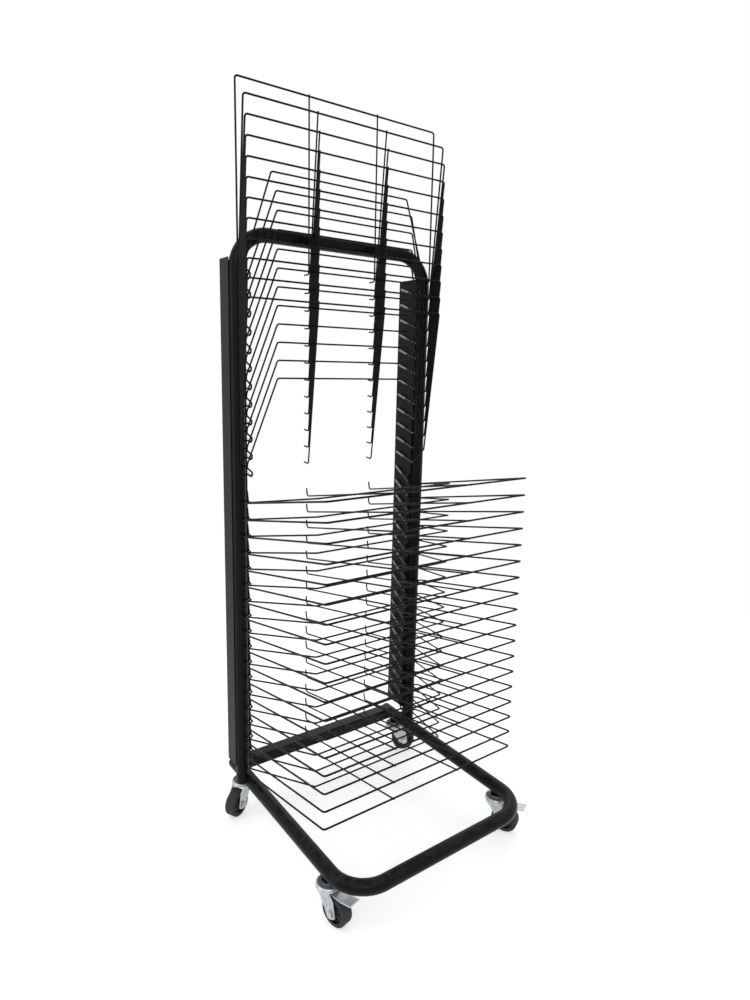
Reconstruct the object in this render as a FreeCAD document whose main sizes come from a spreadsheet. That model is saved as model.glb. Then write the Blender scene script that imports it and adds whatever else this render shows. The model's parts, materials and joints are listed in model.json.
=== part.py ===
"""Wire-shelf drying rack on casters: thirty sprung wire shelves on an inverted-U frame.

The rack stands on the floor at Z = 0. X runs across it, the shelves open towards -Y, and the
origin lies on the floor under the middle of the rack. All sizes are in millimetres.
"""
import FreeCAD, Part
import math
import os

import Sketcher

DOC = FreeCAD.newDocument("DryingRack")

# Driving dimensions: name, value, what it is.
DIMENSIONS = (
    ("upright_y", 151.25, "upright tube axis behind the middle of the rack"),
    ("tube_dia", 25, "outside diameter of the frame tube"),
    ("tube_wall", 1.5, "wall of the frame tube"),
    ("upright_spacing", 410, "between the axes of the two uprights"),
    ("upright_bend", 60, "bend radius at the top corners, on the tube axis"),
    ("base_spacing", 384, "between the axes of the two base arms"),
    ("base_reach", 357, "from the uprights forward to the front bar"),
    ("base_tail", 65, "from the uprights back to the open arm ends"),
    ("base_bend", 60, "bend radius at the front corners, on the tube axis"),
    ("base_axis_z", 82.5, "height of the base tube axis"),
    ("upright_foot_z", 82.5, "height of the coped lower ends of the uprights"),
    ("crossbar_size", 22, "outside of the square rear crossbar"),
    ("crossbar_setback", 50, "from the uprights back to the crossbar axis"),
    ("crossbar_rise", 3.5, "crossbar axis above the base tube axis"),
    ("crossbar_shy", 5, "crossbar end short of the arm axis"),
    ("plug_flange", 2, "thickness of a tube plug's rim"),
    ("plug_depth", 14, "length of a tube plug inside the tube"),
    ("plug_fit", 0.05, "gap round a tube plug"),
    ("sheet_thickness", 1.5, "sheet of the post channels"),
    ("channel_outer_depth", 34, "outer flange, from the upright axis back"),
    ("channel_inner_depth", 54, "inner flange, from the upright axis back"),
    ("channel_foot_z", 118, "height of the lower end of a channel"),
    ("channel_past_bend", 18, "channel top above the lower ends of the top corner bends"),
    ("shelf_count", 30, "number of shelves"),
    ("raised_count", 12, "shelves that stand folded up, from the top"),
    ("shelf_pitch", 30.5, "between two shelf pivots"),
    ("lowest_pivot_z", 131.6, "height of the lowest shelf pivot"),
    ("bar_above_pivot", 74.5, "top bar axis above the highest shelf pivot"),
    ("pivot_setback", 6, "shelf pivots behind the upright axis"),
    ("wire_dia", 3.2, "a shelf's frame wire"),
    ("brace_dia", 3, "wire of a shelf's inner bar"),
    ("runner_dia", 2.8, "a shelf's lengthwise wires"),
    ("wire_bend", 5, "bend radius of the shelf wires, on their axes"),
    ("wire_joint", 1, "straight run next to a bend where two sweeps meet"),
    ("wire_clearance", 0.25, "least gap between the wires of two folded shelves"),
    ("bar_clearance", 0.4, "gap between the top folded shelf and the top bar"),
    ("flange_clearance", 0.3, "gap between a shelf's side wire and the channel"),
    ("shelf_width", 416, "between the axes of a shelf's side wires"),
    ("shelf_throat", 372, "between the axes of the side wires at the hinge"),
    ("shelf_reach", 305, "from the pivots forward to the front wire"),
    ("tail_height", 21, "shelf pivots above the plane of its wires"),
    ("pin_bend", 1.8, "bend radius between a side wire's tail and its hinge pin"),
    ("pin_end", 5.5, "hinge pin beyond the side wire's axis"),
    ("pin_fit", 0.075, "radial play of a hinge pin in its hole"),
    ("jog_run", 2, "straight run of the side wires before they turn outwards"),
    ("jog_length", 20, "length of that turn along the shelf"),
    ("jog_bend", 2.5, "bend radius at both ends of that turn"),
    ("brace_root_x", 196, "where the inner bar leaves the side wires"),
    ("brace_root_run", 7, "straight start of the inner bar, along the shelf"),
    ("brace_width", 290, "width of the inner bar"),
    ("brace_reach", 174, "from the pivots forward to the inner bar"),
    ("runner_spacing", 144, "between the two lengthwise wires"),
    ("runner_overrun", 3, "lengthwise wires past the front wire's axis"),
    ("stop_height", 15, "upturned paper stops above the wire plane"),
    ("stop_setback", 16, "from the pivots forward to the paper stops"),
    ("lowered_tilt", 10.8, "slope of a lowered shelf, front end up"),
    ("anchor_setback", 47, "spring anchors behind the upright axis"),
    ("anchor_rise", 17, "spring anchors above the shelf pivot"),
    ("anchor_hole", 3, "spring anchor hole"),
    ("spring_dia", 5, "outside of a shelf spring"),
    ("spring_wire", 0.8, "wire of a shelf spring"),
    ("spring_coil", 25, "length of the close-wound part"),
    ("spring_lead", 4, "from the anchor to the first turn"),
    ("spring_hook", 13.5, "spring hook on the tail, from the pivot"),
    ("spring_side_gap", 0.15, "gap between a spring's front end and the tail wire beside it"),
    ("front_caster_reach", 288, "from the uprights forward to the front swivels"),
    ("rear_caster_setback", 30, "from the uprights back to the rear swivels"),
    ("boss_dia", 22, "weld-on boss for a caster's stem"),
    ("boss_thickness", 3, "weld-on boss"),
    ("stem_dia", 10, "threaded stem of a caster"),
    ("stem_end_gap", 0.5, "stem's end below the top of its tapped boss"),
    ("collar_flats", 17, "across the flats of a stem's hexagon collar"),
    ("collar_thickness", 2.5, "collar of a stem"),
    ("race_dia", 36, "outside of the swivel race under the collar"),
    ("race_depth", 3.2, "depth of the swivel race"),
    ("race_gap", 0.3, "gap between race and fork"),
    ("kingpin_head_gap", 0.3, "gap between kingpin head and fork"),
    ("fork_thickness", 2.5, "sheet of the fork"),
    ("fork_crown", 42, "diameter of the fork's crown"),
    ("kingpin_dia", 8, "kingpin"),
    ("kingpin_head", 14, "head of the kingpin"),
    ("kingpin_head_height", 2, "height of a kingpin head"),
    ("kingpin_fit", 0.06, "radial play of the fork on the kingpin"),
    ("wheel_dia", 50, "caster wheel"),
    ("wheel_width", 20, "tread width"),
    ("tread_corner", 3, "rounding of the tread's edges"),
    ("hub_dia", 35, "wheel hub under the tyre"),
    ("hub_boss_wall", 4, "wall of the hub's boss round the axle"),
    ("hub_dish", 3, "depth of the dished sides of the hub"),
    ("hub_rim_wall", 3, "wall of the hub's rim"),
    ("hub_rim_slope", 1.5, "slope of the rim's inside at the face"),
    ("hub_end_gap", 0.3, "gap between hub and fork leg"),
    ("wheel_side_gap", 1.5, "gap between wheel and fork leg"),
    ("caster_trail", 20, "wheel axle behind the swivel axis"),
    ("axle_dia", 6, "wheel axle"),
    ("axle_fit", 0.06, "radial play of the wheel on its axle"),
    ("axle_head", 11, "across the flats of the axle's head and nut"),
    ("axle_head_height", 4, "axle head and nut"),
    ("fork_foot", 9, "fork leg beyond the axle's axis"),
    ("fork_foot_corner", 7.65, "rounding of the fork leg's foot"),
    ("fork_leg_front", 14, "front of the fork legs ahead of the swivel axis"),
    ("pedal_pin_dia", 4, "brake pedal pin"),
    ("pedal_pin_fit", 0.06, "radial play of the brake pedal pin"),
    ("pedal_pin_trail", 13, "pedal pin from the swivel axis"),
    ("pedal_pin_z", 53.6, "height of the pedal pin"),
    ("pedal_reach", 58, "pedal tip from the swivel axis"),
    ("pedal_tip_z", 58, "underside of the pedal tip"),
    ("pedal_thickness", 2.5, "pedal plate"),
    ("pedal_boss", 3.2, "radius of the pedal's boss round its pin"),
    ("shoe_trail", 33, "brake shoe from the swivel axis"),
    ("shoe_z", 49.8, "underside of the released brake shoe at its middle"),
    ("shoe_slope", 2, "rise and fall of that underside to its ends"),
    ("shoe_width", 10, "brake shoe across the wheel"),
    ("shoe_length", 8, "brake shoe along the pedal"),
    ("pedal_width", 21, "pedal plate"),
    ("pedal_root", 1, "pedal plate past its pin"),
    ("pedal_pin_head", 0.5, "pedal pin past each fork leg"),
    ("trail_front_left", 12, "rest direction of each wheel, from -Y towards +X, degrees"),
    ("trail_front_right", 24, "the same, front right"),
    ("trail_rear_left", -62, "the same, rear left"),
    ("trail_rear_right", 62, "the same, rear right"),
)


class Size:
    """A number together with the spreadsheet expression that gives it."""

    def __init__(self, number, text):
        self.number = float(number)
        self.text = text

    def __add__(self, other):
        other = as_size(other)
        return Size(self.number + other.number, f"({self.text} + {other.text})")

    def __sub__(self, other):
        other = as_size(other)
        return Size(self.number - other.number, f"({self.text} - {other.text})")

    def __mul__(self, other):
        other = as_size(other)
        return Size(self.number * other.number, f"({self.text} * {other.text})")

    def __truediv__(self, other):
        other = as_size(other)
        return Size(self.number / other.number, f"({self.text} / {other.text})")

    def __neg__(self):
        return Size(-self.number, f"(0 - {self.text})")

    __radd__ = __add__
    __rmul__ = __mul__

    def __rsub__(self, other):
        return as_size(other) - self

    def __float__(self):
        return self.number


def as_size(value):
    """A plain number as a Size, so that both kinds mix in one sum."""
    if isinstance(value, Size):
        return value
    return Size(value, f"({float(value):.10g})")


def fill_sheet():
    """Write the driving dimensions into the sheet and return them by name."""
    sheet = DOC.addObject("Spreadsheet::Sheet", "Sizes")
    sizes = {}
    for row, (name, value, meaning) in enumerate(DIMENSIONS, start=1):
        sheet.set(f"A{row}", meaning)
        sheet.set(f"B{row}", str(value))
        sheet.setAlias(f"B{row}", name)
        sizes[name] = Size(value, f"Sizes.{name}")
    DOC.recompute()
    return sizes


S = fill_sheet()
TUBE_R = S["tube_dia"] / 2
WIRE_R = S["wire_dia"] / 2
UPRIGHT_X = S["upright_spacing"] / 2
ARM_X = S["base_spacing"] / 2
PIVOT_Y = S["upright_y"] + S["pivot_setback"]
TOP_PIVOT_Z = S["lowest_pivot_z"] + (S["shelf_count"] - 1) * S["shelf_pitch"]
TOP_BAR_Z = TOP_PIVOT_Z + S["bar_above_pivot"]
BOSS_TOP_Z = S["base_axis_z"] - TUBE_R
BOSS_Z = BOSS_TOP_Z - S["boss_thickness"]
COLLAR_Z = BOSS_Z - S["collar_thickness"]
CROWN_TOP_Z = COLLAR_Z - S["race_depth"] - S["race_gap"]
CROWN_Z = CROWN_TOP_Z - S["fork_thickness"]
WHEEL_R = S["wheel_dia"] / 2
FLANGE_X = S["shelf_throat"] / 2 + WIRE_R + S["flange_clearance"]
WIRE_START = S["wire_bend"] + S["wire_joint"]
JOG_START = WIRE_START + S["jog_run"]
UPRIGHT_BEND_Z = TOP_BAR_Z - S["upright_bend"]
EXPORTS = []


# ---------------------------------------------------------------- document helpers

def bind(thing, prop, size):
    """Tie a property to the sheet, or set it when it is a plain number."""
    if isinstance(size, Size):
        thing.setExpression(prop, size.text)
    else:
        thing.setExpression(prop, as_size(size).text)


def new_body(label):
    """An empty body under its own name."""
    body = DOC.addObject("PartDesign::Body", label)
    body.Label = label
    return body


def export(thing, label):
    """Mark an object as a sub-part of the rack."""
    thing.Label = label
    EXPORTS.append(thing)
    return thing


def new_sketch(body, role, height=0):
    """A sketch on one of the body's own planes, raised along that plane's normal."""
    sketch = body.newObject("Sketcher::SketchObject", f"{body.Name}_sketch")
    plane = next(item for item in body.Origin.OriginFeatures if item.Role == role)
    sketch.AttachmentSupport = [(plane, "")]
    sketch.MapMode = "FlatFace"
    bind(sketch, "AttachmentOffset.Base.z", height)
    DOC.recompute()
    return sketch


def hold(sketch, geometry, position, point):
    """Hold one point of the sketch at the given place."""
    for kind, size in zip(("DistanceX", "DistanceY"), point):
        size = as_size(size)
        index = sketch.addConstraint(Sketcher.Constraint(kind, geometry, position, size.number))
        sketch.setExpression(f"Constraints[{index}]", size.text)


def circle(sketch, centre, radius):
    """A circle held by its centre and radius."""
    radius = as_size(radius)
    place = FreeCAD.Vector(float(centre[0]), float(centre[1]), 0)
    shape = Part.Circle(place, FreeCAD.Vector(0, 0, 1), radius.number)
    index = sketch.addGeometry(shape, False)
    hold(sketch, index, 3, centre)
    number = sketch.addConstraint(Sketcher.Constraint("Radius", index, radius.number))
    sketch.setExpression(f"Constraints[{number}]", radius.text)


def rounded_corner(before, corner, after, radius):
    """Where the arc that rounds a corner starts and ends, and its centre."""
    back = (before - corner).normalize()
    ahead = (after - corner).normalize()
    half = math.acos(max(-1.0, min(1.0, back.dot(ahead)))) / 2
    start = corner + back * (radius / math.tan(half))
    end = corner + ahead * (radius / math.tan(half))
    centre = corner + (back + ahead).normalize() * (radius / math.sin(half))
    return start, centre, end


def outline(sketch, points, radii=None, closed=True):
    """Straight runs between the points, with a tangent arc where a corner has a radius."""
    count = len(points)
    radii = radii or [0] * count
    places = [FreeCAD.Vector(float(x), float(y), 0) for x, y in points]
    arcs = {}
    for index, radius in enumerate(radii):
        if float(radius) > 0:
            before, after = places[index - 1], places[(index + 1) % count]
            arcs[index] = rounded_corner(before, places[index], after, float(radius))
    lines = []
    for index in range(count if closed else count - 1):
        ahead = (index + 1) % count
        start = arcs[index][2] if index in arcs else places[index]
        end = arcs[ahead][0] if ahead in arcs else places[ahead]
        lines.append(sketch.addGeometry(Part.LineSegment(start, end), False))
    for index, point in enumerate(points):
        leaving = lines[index] if index < len(lines) else None
        arriving = lines[index - 1] if closed or index > 0 else None
        if index in arcs:
            round_corner(sketch, arriving, leaving, point, arcs[index], as_size(radii[index]))
        elif leaving is None:
            hold(sketch, arriving, 2, point)
        else:
            hold(sketch, leaving, 1, point)
            if arriving is not None:
                sketch.addConstraint(Sketcher.Constraint("Coincident", arriving, 2, leaving, 1))


def round_corner(sketch, arriving, leaving, point, ends, radius):
    """Add the arc of one corner and tie both runs to it."""
    start, centre, end = ends
    spot = FreeCAD.Vector(float(point[0]), float(point[1]), 0)
    turns_left = (spot - start).cross(centre - start).z > 0
    first, last = (start, end) if turns_left else (end, start)
    angles = [math.atan2(tip.y - centre.y, tip.x - centre.x) for tip in (first, last)]
    if angles[1] < angles[0]:
        angles[1] += 2 * math.pi
    whole = Part.Circle(centre, FreeCAD.Vector(0, 0, 1), radius.number)
    arc = sketch.addGeometry(Part.ArcOfCircle(whole, *angles), False)
    corner = sketch.addGeometry(Part.Point(spot), True)
    hold(sketch, corner, 1, point)
    for line in (arriving, leaving):
        sketch.addConstraint(Sketcher.Constraint("PointOnObject", corner, 1, line))
    near, far = (1, 2) if turns_left else (2, 1)
    sketch.addConstraint(Sketcher.Constraint("Tangent", arriving, 2, arc, near))
    sketch.addConstraint(Sketcher.Constraint("Tangent", arc, far, leaving, 1))
    number = sketch.addConstraint(Sketcher.Constraint("Radius", arc, radius.number))
    sketch.setExpression(f"Constraints[{number}]", radius.text)


def pad(body, sketch, length, both_ways=False):
    """Raise a sketch into a solid."""
    feature = body.newObject("PartDesign::Pad", f"{body.Name}_pad")
    feature.Profile = sketch
    bind(feature, "Length", length)
    feature.Midplane = both_ways
    DOC.recompute()
    return feature


def pocket(body, sketch, length, both_ways=False, backwards=False):
    """Cut a sketch out of the body, and make sure that something was cut."""
    before = body.Shape.Volume
    feature = body.newObject("PartDesign::Pocket", f"{body.Name}_pocket")
    feature.Profile = sketch
    bind(feature, "Length", length)
    feature.Midplane = both_ways
    feature.Reversed = backwards
    DOC.recompute()
    if body.Shape.Volume > before - 1e-3:
        raise RuntimeError(f"{feature.Name} cuts nothing")
    return feature


def pipe(body, profile, path):
    """Sweep a profile along a path."""
    feature = body.newObject("PartDesign::AdditivePipe", f"{body.Name}_pipe")
    feature.Profile = profile
    feature.Spine = (path, [])
    DOC.recompute()
    return feature


def revolve(body, sketch, axis="X_Axis"):
    """Turn a sketch about one of the body's own axes."""
    feature = body.newObject("PartDesign::Revolution", f"{body.Name}_revolution")
    feature.Profile = sketch
    line = next(item for item in body.Origin.OriginFeatures if item.Role == axis)
    feature.ReferenceAxis = (line, [""])
    feature.Angle = 360
    DOC.recompute()
    return feature


def repeat(body, features, role, pitch, count):
    """Repeat features along one of the body's own axes."""
    feature = body.newObject("PartDesign::LinearPattern", f"{body.Name}_pattern")
    feature.Originals = features
    line = next(item for item in body.Origin.OriginFeatures if item.Role == role)
    feature.Direction = (line, [""])
    bind(feature, "Length", pitch * (count - 1))
    feature.Occurrences = int(float(count))
    body.Tip = feature
    DOC.recompute()
    return feature


def clone(master, label):
    """A second body that repeats the master's shape."""
    body = new_body(label)
    base = DOC.addObject("PartDesign::FeatureBase", f"{label}_base")
    base.BaseFeature = master
    body.Group = [base]
    body.Tip = base
    return body


def place(thing, x, y, z, axis=(0, 0, 1), angle=0):
    """Put an object in its place, turned about an axis through its own origin."""
    turn = FreeCAD.Rotation(FreeCAD.Vector(*axis), float(angle))
    thing.Placement = FreeCAD.Placement(FreeCAD.Vector(float(x), float(y), float(z)), turn)
    for name, size in (("x", x), ("y", y), ("z", z)):
        bind(thing, f"Placement.Base.{name}", size)


# ---------------------------------------------------------------- frame

def tube_profile(body, role, height, centre):
    """The ring of a hollow frame tube."""
    sketch = new_sketch(body, role, height)
    circle(sketch, centre, TUBE_R)
    circle(sketch, centre, TUBE_R - S["tube_wall"])
    return sketch


def make_base_tube():
    """The U-shaped floor frame, open at the back."""
    body = export(new_body("base_tube"), "base_tube")
    rear = S["upright_y"] + S["base_tail"]
    front = S["upright_y"] - S["base_reach"]
    path = new_sketch(body, "XY_Plane", S["base_axis_z"])
    points = [(-ARM_X, rear), (-ARM_X, front), (ARM_X, front), (ARM_X, rear)]
    outline(path, points, [0, S["base_bend"], S["base_bend"], 0], closed=False)
    profile = tube_profile(body, "XZ_Plane", -rear, (-ARM_X, S["base_axis_z"]))
    pipe(body, profile, path)


def arm_shadow(body):
    """The round outline of both base arms, seen along Y."""
    sketch = new_sketch(body, "XZ_Plane", -S["upright_y"])
    for side in (-1, 1):
        circle(sketch, (side * ARM_X, S["base_axis_z"]), TUBE_R)
    return sketch


def make_upright_tube():
    """The inverted U, with its feet coped over the base arms."""
    body = export(new_body("upright_tube"), "upright_tube")
    foot = S["upright_foot_z"]
    path = new_sketch(body, "XZ_Plane", -S["upright_y"])
    right = [(UPRIGHT_X, TOP_BAR_Z), (UPRIGHT_X, foot)]
    points = [(-x, z) for x, z in reversed(right)] + right
    outline(path, points, [0, S["upright_bend"], S["upright_bend"], 0], closed=False)
    profile = tube_profile(body, "XY_Plane", foot, (-UPRIGHT_X, S["upright_y"]))
    pipe(body, profile, path)
    pocket(body, arm_shadow(body), S["tube_dia"] * 2, both_ways=True)


def make_rear_crossbar():
    """The square tube between the base arms, coped round them."""
    body = export(new_body("rear_crossbar"), "rear_crossbar")
    y = S["upright_y"] + S["crossbar_setback"]
    z = S["base_axis_z"] + S["crossbar_rise"]
    profile = new_sketch(body, "YZ_Plane")
    for half in (S["crossbar_size"] / 2, S["crossbar_size"] / 2 - S["tube_wall"]):
        corners = ((-1, -1), (1, -1), (1, 1), (-1, 1))
        outline(profile, [(y + a * half, z + b * half) for a, b in corners])
    pad(body, profile, S["base_spacing"] - 2 * S["crossbar_shy"], both_ways=True)
    pocket(body, arm_shadow(body), S["crossbar_setback"] * 4, both_ways=True)


def make_tube_end_plugs():
    """Two plastic plugs in the open ends of the base arms."""
    body = export(new_body("tube_end_plugs"), "tube_end_plugs")
    rear = S["upright_y"] + S["base_tail"]
    rims = new_sketch(body, "XZ_Plane", -rear)
    stems = new_sketch(body, "XZ_Plane", -rear)
    for side in (-1, 1):
        centre = (side * ARM_X, S["base_axis_z"])
        circle(rims, centre, TUBE_R)
        circle(stems, centre, TUBE_R - S["tube_wall"] - S["plug_fit"])
    rim = pad(body, rims, S["plug_flange"])
    rim.Reversed = True
    pad(body, stems, S["plug_depth"])


def make_channel(side, label):
    """One folded post channel with its pivot holes and spring anchor holes."""
    body = export(new_body(label), label)
    sheet = S["sheet_thickness"]
    y = S["upright_y"]
    inner = FLANGE_X
    outer = UPRIGHT_X + TUBE_R + sheet
    deep = y + S["channel_inner_depth"]
    shallow = y + S["channel_outer_depth"]
    top = UPRIGHT_BEND_Z + S["channel_past_bend"]
    outside = [(inner, y), (inner, deep), (inner + sheet * 2, deep), (outer, shallow), (outer, y)]
    inside = [
        (outer - sheet, y),
        (outer - sheet, shallow - sheet),
        (inner + sheet * 2, deep - sheet),
        (inner + sheet, deep - sheet),
        (inner + sheet, y),
    ]
    section = new_sketch(body, "XY_Plane", S["channel_foot_z"])
    outline(section, [(side * x, depth) for x, depth in outside + inside])
    pad(body, section, top - S["channel_foot_z"])
    lip = new_sketch(body, "XY_Plane", S["channel_foot_z"])
    lip_end = UPRIGHT_X - TUBE_R
    lip_shape = [(inner, y), (lip_end, y), (lip_end, y + sheet), (inner, y + sheet)]
    outline(lip, [(side * x, depth) for x, depth in lip_shape])
    pad(body, lip, UPRIGHT_BEND_Z - S["channel_foot_z"])
    holes = new_sketch(body, "YZ_Plane", side * inner)
    circle(holes, (PIVOT_Y, S["lowest_pivot_z"]), WIRE_R + S["pin_fit"])
    anchor_z = S["lowest_pivot_z"] + S["anchor_rise"]
    circle(holes, (y + S["anchor_setback"], anchor_z), S["anchor_hole"] / 2)
    cut = pocket(body, holes, sheet * 2, both_ways=False, backwards=side > 0)
    repeat(body, [cut], "Z_Axis", S["shelf_pitch"], S["shelf_count"])


# ---------------------------------------------------------------- shelves

def lean_angles():
    """How far each raised shelf stands up, in degrees from level, from the top one down.

    The top shelf rests in front of the top bar, and each one below leans on the one behind it,
    where that one's side wires turn outwards.
    """
    reach = -S["pivot_setback"].number
    rise = S["bar_above_pivot"].number
    stand_off = float(TUBE_R + WIRE_R + S["bar_clearance"] - S["tail_height"])
    size = math.hypot(reach, rise)
    lean = math.acos(stand_off / size) + math.atan2(reach, rise)
    angles = [math.degrees(lean)]
    gap = float(S["wire_dia"] + S["wire_clearance"])
    pitch = S["shelf_pitch"].number
    contact = JOG_START.number
    while len(angles) < int(float(S["raised_count"])):
        up = pitch + contact * math.sin(lean)
        along = contact * math.cos(lean)
        lean = math.acos(gap / math.hypot(up, along)) - math.atan2(along, up)
        angles.append(math.degrees(lean))
    return angles


def wire_section(body, role, height, centre, radius=WIRE_R):
    """The round section of a shelf wire."""
    sketch = new_sketch(body, role, height)
    circle(sketch, centre, radius)
    return sketch


def shelf_tail(body, side):
    """The upturned rear end of one side wire, and the hinge pin it ends in."""
    bend = S["wire_bend"]
    plane = -S["tail_height"]
    x = side * S["shelf_throat"] / 2
    tail = new_sketch(body, "YZ_Plane", x)
    outline(tail, [(-WIRE_START, plane), (0, plane), (0, -bend)], [0, bend, 0], closed=False)
    pipe(body, wire_section(body, "XZ_Plane", WIRE_START, (x, plane)), tail)
    pin = new_sketch(body, "XZ_Plane")
    points = [(x, -bend), (x, 0), (x + side * S["pin_end"], 0)]
    outline(pin, points, [0, S["pin_bend"], 0], closed=False)
    pipe(body, wire_section(body, "XY_Plane", -bend, (x, 0)), pin)


def shelf_runner(body, side):
    """One lengthwise wire, with its rear end turned up as a paper stop."""
    plane = -S["tail_height"]
    x = side * S["runner_spacing"] / 2
    stop = -S["stop_setback"]
    stop_top = plane + S["stop_height"]
    tip = -S["shelf_reach"] - S["runner_overrun"]
    runner = new_sketch(body, "YZ_Plane", x)
    points = [(stop, stop_top), (stop, plane), (tip, plane)]
    outline(runner, points, [0, S["wire_bend"], 0], closed=False)
    pipe(body, wire_section(body, "XY_Plane", stop_top, (x, stop), S["runner_dia"] / 2), runner)


def shelf_brace(body):
    """The inner bar, which leaves the turned-out part of each side wire."""
    plane = -S["tail_height"]
    bend = S["wire_bend"]
    root_x = S["brace_root_x"]
    turned_out = (root_x - S["shelf_throat"] / 2) / (S["shelf_width"] / 2 - S["shelf_throat"] / 2)
    root_y = -JOG_START - turned_out * S["jog_length"]
    brace = new_sketch(body, "XY_Plane", plane)
    right = [
        (root_x, root_y),
        (root_x, root_y - S["brace_root_run"]),
        (S["brace_width"] / 2, -S["brace_reach"]),
    ]
    left = [(-x, y) for x, y in reversed(right)]
    outline(brace, right + left, [0, bend, bend, bend, bend, 0], closed=False)
    section = wire_section(body, "XZ_Plane", -root_y, (root_x, plane), S["brace_dia"] / 2)
    pipe(body, section, brace)


def make_shelf(label):
    """One wire shelf. Its hinge axis is the body's X axis, and the shelf points towards -Y."""
    body = new_body(label)
    bend = S["wire_bend"]
    jog_bend = S["jog_bend"]
    plane = -S["tail_height"]
    throat = S["shelf_throat"] / 2
    wide = S["shelf_width"] / 2
    jog_end = JOG_START + S["jog_length"]

    frame = new_sketch(body, "XY_Plane", plane)
    right = [
        (throat, -WIRE_START),
        (throat, -JOG_START),
        (wide, -jog_end),
        (wide, -S["shelf_reach"]),
    ]
    left = [(-x, y) for x, y in reversed(right)]
    radii = [0, jog_bend, jog_bend, bend, bend, jog_bend, jog_bend, 0]
    outline(frame, right + left, radii, closed=False)
    pipe(body, wire_section(body, "XZ_Plane", WIRE_START, (throat, plane)), frame)
    for side in (1, -1):
        shelf_tail(body, side)
    shelf_brace(body)
    for side in (1, -1):
        shelf_runner(body, side)
    return body


def make_shelves():
    """All thirty shelves, from the top one down."""
    leans = lean_angles()
    master = None
    for index in range(int(float(S["shelf_count"]))):
        label = f"wire_shelf_{index + 1:02d}"
        if master is None:
            master = make_shelf(label)
            shelf = master
        else:
            shelf = clone(master, label)
        export(shelf, label)
        angle = leans[index] if index < len(leans) else S["lowered_tilt"].number
        height = TOP_PIVOT_Z - index * S["shelf_pitch"]
        place(shelf, 0, PIVOT_Y, height, axis=(1, 0, 0), angle=-angle)
    return leans


# ---------------------------------------------------------------- shelf springs

def rod(start, end, radius):
    """A round bar between two points."""
    length = (end - start).Length
    return Part.makeCylinder(radius, length, start, end - start)


def make_spring(side, pivot_z, lean):
    """One extension spring, from its hole in the channel to the tail of its shelf."""
    wire = S["spring_wire"].number / 2
    x = side * float(S["shelf_throat"] / 2 - WIRE_R - wire - S["spring_side_gap"])
    lean = math.radians(lean)
    hook = S["spring_hook"].number
    tail_y = float(PIVOT_Y) - hook * math.sin(lean)
    tail = FreeCAD.Vector(x, tail_y, pivot_z - hook * math.cos(lean))
    anchor_y = float(S["upright_y"] + S["anchor_setback"])
    hole = FreeCAD.Vector(x, anchor_y, pivot_z + S["anchor_rise"].number)
    along = (tail - hole).normalize()
    anchor = hole + along * (S["anchor_hole"].number / 2 - wire)
    first_turn = anchor + along * S["spring_lead"].number
    last_turn = first_turn + along * S["spring_coil"].number
    behind_flange = side * float(FLANGE_X + S["sheet_thickness"] * 2)
    through = FreeCAD.Vector(behind_flange, anchor.y, anchor.z)
    solid = rod(first_turn, last_turn, S["spring_dia"].number / 2)
    for start, end in ((anchor, through), (anchor, first_turn), (last_turn, tail)):
        solid = solid.fuse(rod(start, end, wire))
    return solid


def make_springs(side, label, leans):
    """The springs of one post, one for each shelf."""
    springs = []
    for index in range(int(float(S["shelf_count"]))):
        lean = leans[index] if index < len(leans) else S["lowered_tilt"].number
        springs.append(make_spring(side, float(TOP_PIVOT_Z - index * S["shelf_pitch"]), lean))
    group = DOC.addObject("Part::Feature", label)
    group.Shape = Part.makeCompound(springs)
    export(group, label)


# ---------------------------------------------------------------- casters

def caster_places():
    """Each caster's name, its swivel axis and the direction of its wheel."""
    front = S["upright_y"] - S["front_caster_reach"]
    rear = S["upright_y"] + S["rear_caster_setback"]
    return (
        ("front_left", -ARM_X, front, S["trail_front_left"]),
        ("front_right", ARM_X, front, S["trail_front_right"]),
        ("rear_left", -ARM_X, rear, S["trail_rear_left"]),
        ("rear_right", ARM_X, rear, S["trail_rear_right"]),
    )


def rectangle(sketch, centre, width, depth):
    """A rectangle about a centre."""
    x, y = centre
    half_x, half_y = width / 2, depth / 2
    corners = ((-1, -1), (1, -1), (1, 1), (-1, 1))
    outline(sketch, [(x + a * half_x, y + b * half_y) for a, b in corners])


def hexagon(sketch, centre, across_flats):
    """A hexagon about a centre, measured across its flats."""
    radius = across_flats / 2 / math.cos(math.pi / 6)
    turns = [math.pi / 3 * corner for corner in range(6)]
    x, y = centre
    outline(sketch, [(x + math.cos(turn) * radius, y + math.sin(turn) * radius) for turn in turns])


def make_mount_bosses():
    """The round bosses welded under the base arms, tapped for the casters' stems."""
    body = export(new_body("caster_mount_bosses"), "caster_mount_bosses")
    bosses = new_sketch(body, "XY_Plane", BOSS_Z)
    holes = new_sketch(body, "XY_Plane", BOSS_Z)
    for _, x, y, _ in caster_places():
        circle(bosses, (x, y), S["boss_dia"] / 2)
        circle(holes, (x, y), S["stem_dia"] / 2)
    pad(body, bosses, S["boss_thickness"])
    pocket(body, holes, S["boss_thickness"] * 2, both_ways=True)


def make_stems():
    """The casters' threaded stems, each with the hexagon collar that a spanner turns."""
    body = export(new_body("caster_stems"), "caster_stems")
    collars = new_sketch(body, "XY_Plane", COLLAR_Z)
    stems = new_sketch(body, "XY_Plane", COLLAR_Z)
    for _, x, y, _ in caster_places():
        hexagon(collars, (x, y), S["collar_flats"])
        circle(stems, (x, y), S["stem_dia"] / 2)
    pad(body, collars, S["collar_thickness"])
    pad(body, stems, BOSS_TOP_Z - S["stem_end_gap"] - COLLAR_Z)


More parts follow.
